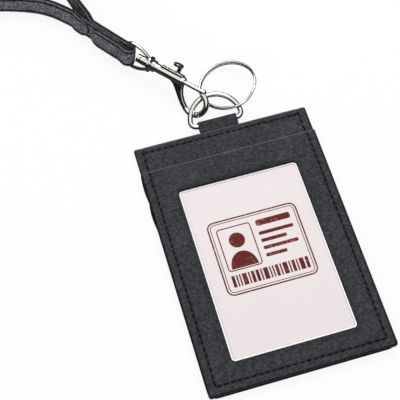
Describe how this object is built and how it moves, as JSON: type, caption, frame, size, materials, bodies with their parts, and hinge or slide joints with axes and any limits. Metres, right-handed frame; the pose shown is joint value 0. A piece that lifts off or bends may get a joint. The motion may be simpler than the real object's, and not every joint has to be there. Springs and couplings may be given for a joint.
{
  "type": "id badge wallet",
  "caption": "Leather badge wallet with a windowed card pocket and back slots, hung by a D-ring, a split ring and a swivel bolt snap, with a flat neck strap.",
  "frame": {"origin": "centre of the wallet's back face, on the surface that the object lies on", "axes": "+X to the wallet's right seen from the front, +Y to the tab and D-ring, +Z out of the window"},
  "size_m": [0.142, 0.2909, 0.0149],
  "materials": {
    "leather": "pebbled, matt",
    "strap_leather": "fine pebbled, matt, stitched along both edges",
    "film": "clear flexible film",
    "card": null,
    "metal": "polished nickel plating",
    "spring": "drawn wire",
    "tie": "plain soft band"
  },
  "bodies": {
    "strap": {"strap_end_fold": "strap_leather", "strap_end_ply": "strap_leather", "strap_strand_a": "strap_leather", "strap_strand_b": "strap_leather", "strap_coil": "strap_leather", "coil_tie": "tie"},
    "eye": {"swivel_eye": "metal"},
    "snap": {"snap_body": "metal", "swivel_post": "metal", "snap_spring": "spring"},
    "bolt": {"snap_bolt": "metal", "snap_knob": "metal"},
    "d_ring": {"d_ring": "metal"},
    "split_ring": {"split_ring": "metal"},
    "wallet": {"front_panel": "leather", "window_film": "film", "body_panel": "leather", "back_panel": "leather", "card_slot_upper": "leather", "card_slot_lower": "leather", "d_ring_tab": "leather"},
    "card": {"id_card": "card"}
  },
  "joints": [
    {"name": "eye_in_strap", "type": "hinge", "parent": "strap", "child": "eye", "pos_m": [-0.02816, 0.10071, 0.00768], "axis": [0.1613, 0.1834, 0.9697], "range_deg": [-60, 45]},
    {"name": "snap_swivel", "type": "hinge", "parent": "eye", "child": "snap", "pos_m": [-0.0206, 0.09192, 0.00809], "axis": [0.6517, -0.7577, 0.0349], "continuous": true},
    {"name": "bolt_slide", "type": "slide", "parent": "snap", "child": "bolt", "axis": [-0.6517, 0.7577, -0.0349], "range_m": [0, 0.0065], "stiffness_N_per_m": 300, "springref_m": -0.003, "deforming": ["snap_spring"]},
    {"name": "d_ring_in_snap", "type": "hinge", "parent": "snap", "child": "d_ring", "pos_m": [-0.00674, 0.06915, 0.00505], "axis": [0.809, 0.559, 0.1816], "range_deg": [-20, 15]},
    {"name": "split_ring_on_d_ring", "type": "hinge", "parent": "d_ring", "child": "split_ring", "pos_m": [0.00716, 0.06869, 0.0049], "axis": [-0.766, 0.6113, 0.1986], "range_deg": [-35, 10]},
    {"name": "wallet_on_d_ring", "type": "hinge", "parent": "d_ring", "child": "wallet", "pos_m": [0, 0.0596, 0.00195], "axis": [1, 0, 0], "range_deg": [-90, 90]},
    {"name": "card_slide", "type": "slide", "parent": "wallet", "child": "card", "axis": [0, 1, 0], "range_m": [0, 0.02]}
  ]
}
